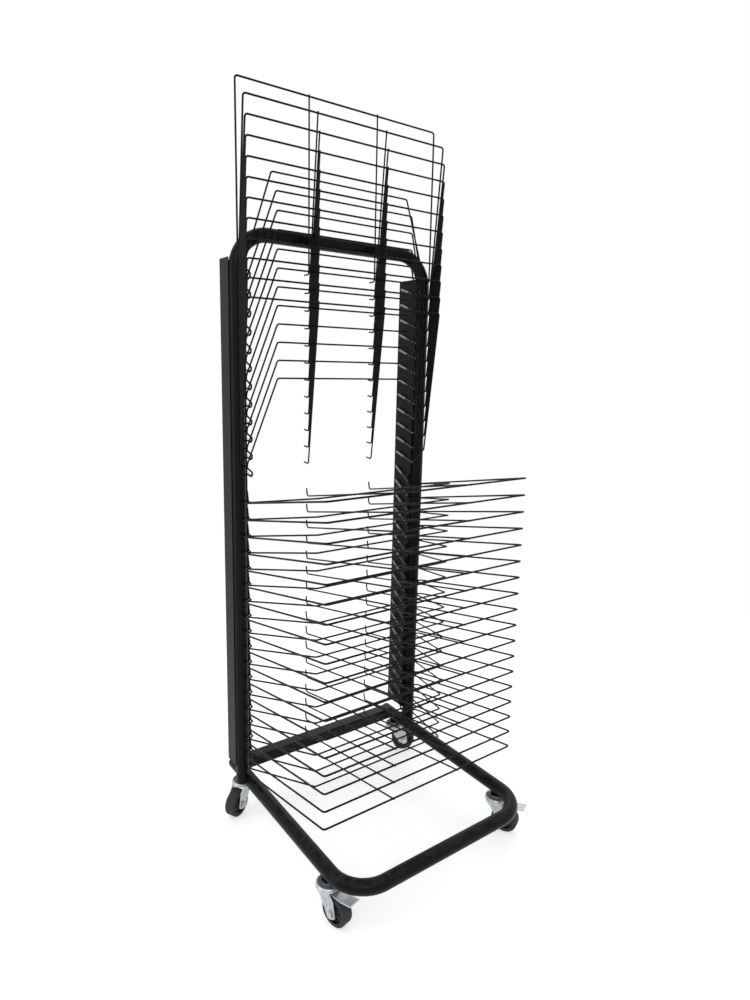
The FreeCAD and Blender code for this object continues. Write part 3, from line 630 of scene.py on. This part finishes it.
class RackSizes(bpy.types.PropertyGroup):
    """Sizes of what is added to the frame."""

    spring_dia: length("Spring diameter", "Outside of a shelf spring", 0.005)
    spring_wire: length("Spring wire", "Wire of a shelf spring", 0.0008)
    spot_size: length("Weld spot", "Radius of a weld spot at a wire crossing", 0.0021)
    bead_width: length("Weld bead", "Radius of a weld bead on the tube", 0.0017)
    tread_corner: length("Tread corner", "Rounding of the tyre's shoulders", 0.003)


class RackColors(bpy.types.PropertyGroup):
    """Colours of the rack's finishes."""

    frame: color("Frame", "Powder coat of tube and channels", (0.0036, 0.0036, 0.0041))
    wire: color("Wire", "Coating of the shelf wire", (0.0036, 0.0036, 0.0039))
    zinc: color("Zinc", "Zinc plate of the casters", (0.6, 0.62, 0.65))
    zinc_tint: color("Zinc tint", "Passivation tint on the zinc", (0.52, 0.52, 0.46))
    spring: color("Spring", "Spring steel", (0.75, 0.76, 0.79))
    rubber: color("Rubber", "Caster tyres", (0.03, 0.03, 0.032))
    dust: color("Dust", "Dust on the treads", (0.19, 0.18, 0.165))
    plastic: color("Plastic", "Hubs and tube plugs", (0.014, 0.014, 0.015))


class RackStudio(bpy.types.PropertyGroup):
    """The plain studio round the rack."""

    floor: color("Floor", "Colour of the floor", (0.86, 0.86, 0.86))
    key_power: bpy.props.FloatProperty(
        name="Key light", description="Power of the main lamp", default=26.0, min=0.0, subtype="POWER")
    side_power: bpy.props.FloatProperty(
        name="Side light", description="Power of the long lamp at the left", default=12.0, min=0.0,
        subtype="POWER")
    back_power: bpy.props.FloatProperty(
        name="Back light", description="Power of the lamp behind", default=10.0, min=0.0,
        subtype="POWER")
    room: bpy.props.FloatProperty(
        name="Room", description="Strength of the light from all round", default=0.75, min=0.0)


# ---------------------------------------------------------------- operators

class RACK_OT_frame(bpy.types.Operator):
    """Coat the tubes, channels and plugs."""

    bl_idname = "rack.frame"
    bl_label = "Frame"

    def execute(self, context):
        for node in ("base_tube", "upright_tube", "rear_crossbar", "caster_mount_bosses"):
            dress(node, "frame_coat")
        for node in ("channel_left", "channel_right"):
            dress(node, "channel_coat")
        dress("tube_end_plugs", "black_plastic")
        return {"FINISHED"}


class RACK_OT_welds(bpy.types.Operator):
    """Lay the weld beads on the frame."""

    bl_idname = "rack.welds"
    bl_label = "Frame welds"

    def execute(self, context):
        width = context.scene.rack_sizes.bead_width / MM
        for side, word in ((-1, "left"), (1, "right")):
            parts = [
                bead([(side * x, y, z) for x, y, z in line], width * share, seed)
                for line, share, seed in self.lines()
            ]
            mesh = new_mesh(f"frame_welds_{word}", *joined(parts), "weld_coat")
            new_piece(f"frame_welds_{word}", mesh, "root")
        return {"FINISHED"}

    def lines(self):
        """Each right-hand weld's line, its share of a full bead's width and the seed of its ripples."""
        yield self.saddle(), 1.0, 11
        yield self.bar_end(), 1.0, 23
        for number, line in enumerate(self.seams()):
            yield line, 0.9, 31 + number
        for number, line in enumerate(self.stitches()):
            yield line, 0.8, 57 + number

    def saddle(self):
        """Where an upright's foot sits on its base arm."""
        line = []
        for turn in np.radians(np.linspace(96, 264, 41)):
            x = UPRIGHT_X + TUBE_R * math.cos(turn)
            drop = max(0.0, TUBE_R ** 2 - (x - ARM_X) ** 2)
            line.append((x, UPRIGHT_Y + TUBE_R * math.sin(turn), ARM_Z + math.sqrt(drop)))
        return line

    def bar_end(self):
        """Where the crossbar's sides and lower face meet the arm's inner side."""
        bottom = CROSSBAR_Z - CROSSBAR_HALF
        top = CROSSBAR_Z + CROSSBAR_HALF - BAR_WELD_STOP
        front = [(CROSSBAR_Y - CROSSBAR_HALF, z) for z in np.linspace(top, bottom, 14)]
        back = [(CROSSBAR_Y + CROSSBAR_HALF, z) for z in np.linspace(bottom, top, 14)]
        return [(ARM_X - math.sqrt(TUBE_R ** 2 - (z - ARM_Z) ** 2), y, z) for y, z in front + back]

    def seams(self):
        """Fillets between the arms and the caster bosses."""
        for swivel in ("swivel_front_right", "swivel_rear_right"):
            middle = JOINTS[swivel]["pos_m"][1] / MM
            for x in (ARM_X - SEAM_OUT, ARM_X + SEAM_OUT):
                yield [(x, middle + t, BOSS_TOP_Z + 0.6) for t in np.linspace(-SEAM_HALF, SEAM_HALF, 11)]

    def stitches(self):
        """Short welds between each channel and its upright."""
        x, y = UPRIGHT_X - TUBE_R + 0.2, UPRIGHT_Y + 0.6
        for height in STITCH_HEIGHTS:
            yield [(x, y, height + t) for t in np.linspace(0, STITCH_LENGTH, 11)]


class RACK_OT_shelves(bpy.types.Operator):
    """Coat the wire shelves and add their weld spots."""

    bl_idname = "rack.shelves"
    bl_label = "Wire shelves"

    def execute(self, context):
        size = context.scene.rack_sizes.spot_size / MM
        spots = []
        for side in (-1, 1):
            for reach in (BRACE_REACH, SHELF_REACH):
                spots.append((side * RUNNER_X, -reach, -TAIL_HEIGHT))
            spots.append((side * BRACE_ROOT[0], BRACE_ROOT[1], -TAIL_HEIGHT))
        shape = [size * share for share in SPOT_SHAPE]
        parts = [weld_spot(spot, shape, seed) for seed, spot in enumerate(spots)]
        mesh = new_mesh("shelf_weld_spots", *joined(parts), "wire_coat")
        for index in range(SHELVES):
            number = shelf_name(index)
            dress(f"wire_shelf_{number}", "wire_coat")
            new_piece(f"shelf_weld_spots_{number}", mesh, f"shelf_{number}",
                      shelf_place(index))
        return {"FINISHED"}


class RACK_OT_springs(bpy.types.Operator):
    """Wind the sixty shelf springs."""

    bl_idname = "rack.springs"
    bl_label = "Shelf springs"

    def execute(self, context):
        sizes = context.scene.rack_sizes
        wire = sizes.spring_wire / MM / 2
        coil = sizes.spring_dia / MM / 2 - wire
        for side, word in ((-1, "left"), (1, "right")):
            for index in range(SHELVES):
                number = shelf_name(index)
                line, bend = self.centreline(side, index, wire, coil)
                name = f"spring_{word}_{number}"
                mesh = new_mesh(name, *tube(line * MM, wire * MM, 6), "spring_steel")
                piece = new_piece(name, mesh, None)
                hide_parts(f"springs_{word}")
                start, end = (Vector(point) * MM for point in bend)
                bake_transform(piece)
        return {"FINISHED"}

    def centreline(self, side, index, wire, coil):
        """The wire's line in millimetres, and two points on it: just past the coil, and at the shelf's tail
        wire.
        """
        lean = math.radians(shelf_lean(index))
        pivot = np.array(hinge(index)) / MM
        x = side * (THROAT_X - WIRE_R - wire - WIRE_GAP)
        out = np.array([side, 0.0, 0.0])
        tail = np.array([
            x, pivot[1] - HOOK_REACH * math.sin(lean), pivot[2] - HOOK_REACH * math.cos(lean)])
        hole = np.array([x, pivot[1] + SPRING_HOLE[0], pivot[2] + SPRING_HOLE[1]])
        along = (tail - hole) / np.linalg.norm(tail - hole)
        anchor = hole + along * HOLE_EDGE
        first = anchor + along * SPRING_LEAD
        last = first + along * SPRING_COIL
        neck, shoulder = along * COIL_NECK, along * COIL_SHOULDER
        rim = out * coil * 0.6
        span = np.linalg.norm(tail - last)
        line = np.array([
            *(anchor + out * outward + along * onward for outward, onward in SPRING_HOOK),
            first - neck,
            first + rim - shoulder,
            *self.helix(first, along, out, wire, coil),
            last + rim + shoulder,
            last + neck,
            *(last + along * t for t in np.linspace(STRETCH_START, span - COIL_NECK, 14)),
            *self.eye(side, tail, lean, wire),
        ])
        return line, (last + along * BLEND_START, tail)

    def helix(self, first, along, out, wire, coil):
        """The close turns of the coil, twelve points to a turn."""
        turns = int(SPRING_COIL / (wire * 2.06))
        angles = np.linspace(0, turns * 2 * math.pi, turns * 12 + 1)
        climb = np.linspace(0, SPRING_COIL, len(angles))
        over = np.cross(out, along)
        ring = np.outer(np.cos(angles), out) + np.outer(np.sin(angles), over)
        return first + np.outer(climb, along) + ring * coil

    def eye(self, side, tail, lean, wire):
        """The loop that closes round the shelf's tail wire."""
        centre = np.array([side * THROAT_X, tail[1], tail[2]])
        radius = WIRE_R + wire + WIRE_GAP
        inward = np.array([-side, 0.0, 0.0])
        forward = np.array([0.0, -math.cos(lean), math.sin(lean)])
        down = np.array([0.0, -math.sin(lean), -math.cos(lean)])
        loop = []
        for share in np.linspace(0, 1, 25):
            turn = share * math.radians(320)
            round_tail = inward * math.cos(turn) + forward * math.sin(turn)
            loop.append(centre + round_tail * radius + down * share * wire * 2.4)
        return loop


class RACK_OT_caster_mounts(bpy.types.Operator):
    """Finish the stems, races and kingpins, with the rolled lip of each swivel race."""

    bl_idname = "rack.caster_mounts"
    bl_label = "Caster mounts"

    def execute(self, context):
        for node in ("caster_stems", "caster_races", "caster_kingpins"):
            dress(node, "zinc_plate")
        section = rounded([(0.2, 17.5), (0.2, 20.4), (1.2, 20.4), (3.1, 18.6), (3.1, 17.5)],
                          [0.0, 0.3, 0.5, 0.9, 0.0])
        points, faces = lathe([(x * MM, r * MM) for x, r in section], 64)
        mesh = new_mesh("race_lip", points, faces, "zinc_plate")
        upright = Matrix.Rotation(math.radians(-90), 4, "Y")
        for corner in CORNERS:
            swivel = Vector(JOINTS[f"swivel_{corner}"]["pos_m"])
            place = Matrix.Translation((swivel.x, swivel.y, RACE_Z * MM)) @ upright
            new_piece(f"race_lip_{corner}", mesh, "root", place)
        return {"FINISHED"}


class RACK_OT_wheels(bpy.types.Operator):
    """Turn the tyres and wheel centres."""

    bl_idname = "rack.wheels"
    bl_label = "Wheels"

    def execute(self, context):
        tyre = self.tyre(context.scene.rack_sizes.tread_corner / MM)
        hub = self.hub()
        for corner in CORNERS:
            place = wheel_place(corner)
            piece = new_piece(f"tyre_{corner}", tyre, f"wheel_{corner}", place)
            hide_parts(f"caster_tyre_{corner}")
            piece = new_piece(f"hub_{corner}", hub, f"wheel_{corner}", place)
            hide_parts(f"caster_hub_{corner}")
        return {"FINISHED"}

    def tyre(self, corner):
        """A tyre with rounded shoulders, a mould line and a ring on each side wall."""
        right = [(10.0, 17.5), (10.0, 19.2), (9.5, 19.6), (9.5, 20.6), (10.0, 21.0), (10.0, 25.0)]
        line = [(0.45, 25.0), (0.0, 24.75), (-0.45, 25.0)]
        left = [(-x, r) for x, r in reversed(right)]
        radii = [0.4, 0.2, 0.2, 0.2, 0.2, corner]
        profile = rounded(right + line + left, radii + [0.2, 0.0, 0.2] + radii[::-1])
        parts = lathe([(x * MM, r * MM) for x, r in profile], 96)
        return new_mesh("caster_tyre", *parts, "tyre_rubber")

    def hub(self):
        """A dished wheel centre with six moulded ribs on each side."""
        right = [(11.2, 3.06), (11.2, 7.06), (6.4, 7.06), (5.2, 13.8), (5.2, 17.4), (10.0, 17.4)]
        left = [(-x, r) for x, r in reversed(right)]
        radii = [0.3, 0.4, 0.8, 0.8, 0.3, 0.0]
        profile = rounded(right + left, radii + radii[::-1])
        parts = [lathe([(x * MM, r * MM) for x, r in profile], 72)]
        for side in (-1, 1):
            for rib in range(6):
                turn = rib * math.pi / 3 + 0.2
                radii = np.linspace(6.4, 14.6, 12)
                line = [(side * (7.2 - 0.16 * abs(r - 10)), r * math.cos(turn), r * math.sin(turn))
                        for r in radii]
                parts.append(tube(np.array(line) * MM, 1.1 * MM, 10))
        return new_mesh("caster_hub", *joined(parts), "black_plastic")


class RACK_OT_forks(bpy.types.Operator):
    """Press the forks, each with a round crown that flows down into two flat legs."""

    bl_idname = "rack.forks"
    bl_label = "Forks"

    def execute(self, context):
        bottom = CROWN_TOP_Z - FORK_SHEET
        corners = [(bottom, KINGPIN_HOLE_R), (CROWN_TOP_Z, KINGPIN_HOLE_R),
                   (CROWN_TOP_Z, CROWN_R), (bottom, CROWN_R)]
        disc, disc_faces = lathe(rounded(corners, [0.0, 0.0, 2.4, 0.0], 8), 96)
        parts = [(disc[:, (1, 2, 0)], disc_faces), shell(self.apron(0.0), self.apron(FORK_SHEET))]
        for side in (-1, 1):
            parts.append(shell(self.leg(side, 0.0), self.leg(side, FORK_SHEET)))
            parts.extend(self.ribs(side))
        points, faces = joined(parts)
        mesh = new_mesh("caster_fork", points * MM, faces, "zinc_plate")
        for corner in CORNERS:
            dress(f"caster_axle_{corner}", "zinc_plate")
            piece = new_piece(f"fork_{corner}", mesh, f"caster_{corner}",
                              caster_place(corner))
            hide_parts(f"caster_fork_{corner}")
        return {"FINISHED"}

    def leg(self, side, inset):
        """Rows of points down one leg, from under the crown's rim to the foot."""
        rim = CROWN_R - 0.2 - inset
        rows = []
        for half_turn in np.linspace(0, math.pi, 37):
            z = SHEET_TOP_Z - (SHEET_TOP_Z - FORK_FOOT_Z) * (1 - math.cos(half_turn)) / 2
            flat = self.flatness(z)
            front, rear = self.edges(z)
            row = []
            for across in np.linspace(0, 1, 19):
                turn = math.radians(50 - 100 * across)
                x = rim * math.cos(turn) * (1 - flat) + (FORK_HALF - inset) * flat
                y = rim * math.sin(turn) * (1 - flat) + (front + (rear - front) * across) * flat
                row.append((side * x, y, z))
            rows.append(row)
        return rows

    def flatness(self, z):
        """0 at the crown's rim and 1 where a leg is flat."""
        fall = min(max((CROWN_TOP_Z - FORK_SHEET - z) / SHOULDER, 0.0), 1.0)
        return fall * fall * (3 - 2 * fall)

    def edges(self, z):
        """Where a leg's front and rear edges are at a height, rounded towards its foot."""
        fall = (CROWN_TOP_Z - z) / (CROWN_TOP_Z - WHEEL_Z + FORK_FOOT)
        front = FORK_FRONT + (FORK_FOOT - CASTER_TRAIL - FORK_FRONT) * fall
        rear = -CROWN_R + (CROWN_R - CASTER_TRAIL - FORK_FOOT) * fall
        front = min(front, self.round_off(z, TOE_Z, TOE_R) - CASTER_TRAIL)
        rear = max(rear, -self.round_off(z, WHEEL_Z, FORK_FOOT) - CASTER_TRAIL)
        return front, rear

    def round_off(self, z, middle, radius):
        """Half the width of a circle below its middle, and no limit above that."""
        below = middle - z
        return math.sqrt(radius ** 2 - below ** 2) if below > 0 else math.inf

    def apron(self, inset):
        """Rows of points of the crown's turned-down front edge."""
        rows = []
        for fall in np.linspace(0, 1, 7):
            radius = CROWN_R - 0.25 - inset - APRON_DRAW * fall ** 2
            z = SHEET_TOP_Z - APRON_DROP * fall
            turns = np.radians(np.linspace(47, 133, 25))
            rows.append([(radius * math.cos(turn), radius * math.sin(turn), z) for turn in turns])
        return rows

    def ribs(self, side):
        """The two pressed ribs of a leg."""
        steps = np.linspace(0, 1, 12)
        radii = RIB_R * np.clip(np.minimum(steps, 1 - steps) * 6, 0.3, 1) ** 0.5
        x = side * (FORK_HALF - 0.1)
        for head, foot in ((-3.5, -10.5), (-16.0, -19.5)):
            line = [(x, head + (foot - head) * t, RIB_TOP_Z - RIB_DROP * t) for t in steps]
            yield tube(line, radii, 12)


class RACK_OT_brakes(bpy.types.Operator):
    """Finish the brake pedals, with the grip bars on their treads and the heads of their pins."""

    bl_idname = "rack.brakes"
    bl_label = "Brake pedals"

    def execute(self, context):
        parts = []
        across = np.linspace(-GRIP_HALF, GRIP_HALF, 14)
        radii = GRIP_R * np.clip((GRIP_HALF + 0.4 - np.abs(across)) / 1.5, 0.4, 1)
        for bar in range(4):
            reach = GRIP_FIRST + bar * GRIP_PITCH
            height = TREAD_START[1] + (reach - TREAD_START[0]) * TREAD_SLOPE
            line = [(x, -reach, height) for x in across]
            parts.append(tube(np.array(line) * MM, radii * MM, 10))
        head = rounded([(15.7, 0.0), (15.7, 3.2), (17.6, 2.4), (17.6, 0.0)], [0.0, 0.3, 1.2, 0.0])
        for side in (-1, 1):
            points, faces = lathe([(side * x * MM, r * MM) for x, r in head], 32)
            parts.append((points + (0.0, PIN_Y * MM, PIN_Z * MM), faces))
        mesh = new_mesh("pedal_grips", *joined(parts), "zinc_plate")
        for corner in BRAKED:
            dress(f"brake_pedal_{corner}", "zinc_plate")
            new_piece(f"pedal_grips_{corner}", mesh, f"brake_{corner}",
                      caster_place(corner))
        return {"FINISHED"}


class RACK_OT_studio(bpy.types.Operator):
    """Set up the floor, lamps, world and camera."""

    bl_idname = "rack.studio"
    bl_label = "Studio"

    def execute(self, context):
        studio = context.scene.rack_studio
        self.floor(studio.floor)
        self.lamp("key", (-1.7, -2.4, 2.7), (0.0, 0.0, 0.6), (1.8, 1.8), studio.key_power)
        self.lamp("side", (-2.3, 0.5, 0.9), (0.0, 0.1, 0.6), (0.5, 2.2), studio.side_power)
        self.lamp("back", (1.8, 2.0, 2.2), (0.0, 0.0, 0.6), (1.4, 1.4), studio.back_power)
        self.world(studio.room)
        self.camera()
        context.scene.view_settings.view_transform = "Standard"
        return {"FINISHED"}

    def floor(self, color):
        """A pale floor that runs out into the background."""
        rings, sides = 24, 96
        radii = np.linspace(0, 1, rings + 1)[1:] ** 1.4 * FLOOR_R
        points = [(0.0, 0.0, 0.0)]
        for radius in radii:
            for side in range(sides):
                turn = side * 2 * math.pi / sides
                points.append((radius * math.cos(turn), radius * math.sin(turn), 0.0))
        faces = [(0, 1 + side, 1 + (side + 1) % sides) for side in range(sides)]
        for ring in range(rings - 1):
            for side in range(sides):
                near, ahead = 1 + ring * sides + side, 1 + ring * sides + (side + 1) % sides
                faces.append((near, near + sides, ahead + sides, ahead))
        mesh = bpy.data.meshes.new("floor")
        mesh.from_pydata(points, [], faces)
        mesh.materials.append(self.floor_finish(color))
        floor = bpy.data.objects.new("floor", mesh)
        bpy.context.scene.collection.objects.link(floor)

    def floor_finish(self, color):
        """Pale matt floor paint, white to the camera where nothing shades it."""
        paint = Finish("floor_paint", Specular_IOR_Level=0.1, Emission_Strength=1.0)
        grain = paint.noise(30.0, 4.0)
        tone = paint.blend(grain, shade(color, 0.99), color)
        material = paint.surface(tone, 0.8 + grain * 0.1)
        lift = paint.blend(paint.seen() * FLOOR_LIFT, (0.0, 0.0, 0.0), (1.0, 1.0, 1.0))
        paint.feed(paint.shader.inputs["Emission Color"], lift)
        x, y, _ = paint.axes(paint.place)
        far = (x * x + y * y).root().step(*FLOOR_FADE)
        clear = paint.node("ShaderNodeBsdfTransparent")
        mix = paint.node("ShaderNodeMixShader", None, {
            0: far, 1: paint.shader.outputs[0], 2: clear.outputs[0]})
        paint.feed(paint.tree.nodes["Material Output"].inputs["Surface"], mix.outputs[0])
        return material

    def lamp(self, name, spot, target, size, power):
        """A soft rectangular lamp."""
        light = bpy.data.lights.new(name, "AREA")
        light.shape = "RECTANGLE"
        light.size, light.size_y = size
        light.energy = power
        lamp = bpy.data.objects.new(name, light)
        lamp.location = spot
        aim = Vector(target) - Vector(spot)
        lamp.rotation_euler = aim.to_track_quat("-Z", "Y").to_euler()
        bpy.context.scene.collection.objects.link(lamp)

    def world(self, strength):
        """Even light from all round, white where it is seen or mirrored."""
        world = bpy.data.worlds.new("studio")
        world.use_nodes = True
        graph = Graph(world.node_tree)
        background = graph.tree.nodes["Background"]
        graph.feed(background.inputs["Color"], rgba((1.0, 1.0, 1.0)))
        graph.feed(background.inputs["Strength"], graph.seen() * (1 - strength) + strength)
        bpy.context.scene.world = world

    def camera(self):
        """A camera at the left of the open front, a little above half height."""
        angles = (CAMERA_AZIMUTH, CAMERA_ELEVATION, CAMERA_ROLL)
        azimuth, elevation, roll = (math.radians(angle) for angle in angles)
        ahead = Vector((math.sin(azimuth) * math.cos(elevation),
                        math.cos(azimuth) * math.cos(elevation), math.sin(elevation)))
        level = Vector((math.cos(azimuth), -math.sin(azimuth), 0.0))
        above = level.cross(ahead)
        right = level * math.cos(roll) + above * math.sin(roll)
        up = above * math.cos(roll) - level * math.sin(roll)
        turn = Matrix((right, up, -ahead)).transposed().to_4x4()
        data = bpy.data.cameras.new("camera")
        data.sensor_width = 36.0
        data.lens = CAMERA_LENS
        data.shift_x, data.shift_y = CAMERA_SHIFT
        data.clip_start = 0.01
        data.clip_end = 60.0
        camera = bpy.data.objects.new("camera", data)
        camera.matrix_world = Matrix.Translation(CAMERA_PLACE) @ turn
        bpy.context.scene.collection.objects.link(camera)
        bpy.context.scene.camera = camera


class RACK_PT_panel(bpy.types.Panel):
    """The rack's steps and settings in the sidebar."""

    bl_idname = "RACK_PT_panel"
    bl_label = "Drying Rack"
    bl_space_type = "VIEW_3D"
    bl_region_type = "UI"
    bl_category = "Drying Rack"

    def draw(self, context):
        for operator in STEPS:
            self.layout.operator(operator.bl_idname)
        for group in (context.scene.rack_sizes, context.scene.rack_colors, context.scene.rack_studio):
            for name in group.bl_rna.properties.keys():
                if name not in ("rna_type", "name"):
                    self.layout.prop(group, name)


STEPS = (
    RACK_OT_frame,
    RACK_OT_welds,
    RACK_OT_shelves,
    RACK_OT_springs,
    RACK_OT_caster_mounts,
    RACK_OT_wheels,
    RACK_OT_forks,
    RACK_OT_brakes,
    RACK_OT_studio,
)
GROUPS = {"rack_sizes": RackSizes, "rack_colors": RackColors, "rack_studio": RackStudio}


def register():
    """Add the rack's settings, steps and panel to Blender."""
    for group in (*GROUPS.values(), *STEPS, RACK_PT_panel):
        bpy.utils.register_class(group)
    for name, group in GROUPS.items():
        setattr(bpy.types.Scene, name, bpy.props.PointerProperty(type=group))


def unregister():
    """Take the rack's settings, steps and panel out of Blender."""
    for name in GROUPS:
        delattr(bpy.types.Scene, name)
    for group in (RACK_PT_panel, *reversed(STEPS), *GROUPS.values()):
        bpy.utils.unregister_class(group)


def main():
    """Build every piece in order."""
    register()
    for operator in STEPS:
        group, name = operator.bl_idname.split(".")
        getattr(getattr(bpy.ops, group), name)()


if __name__ == "__main__":
    main()
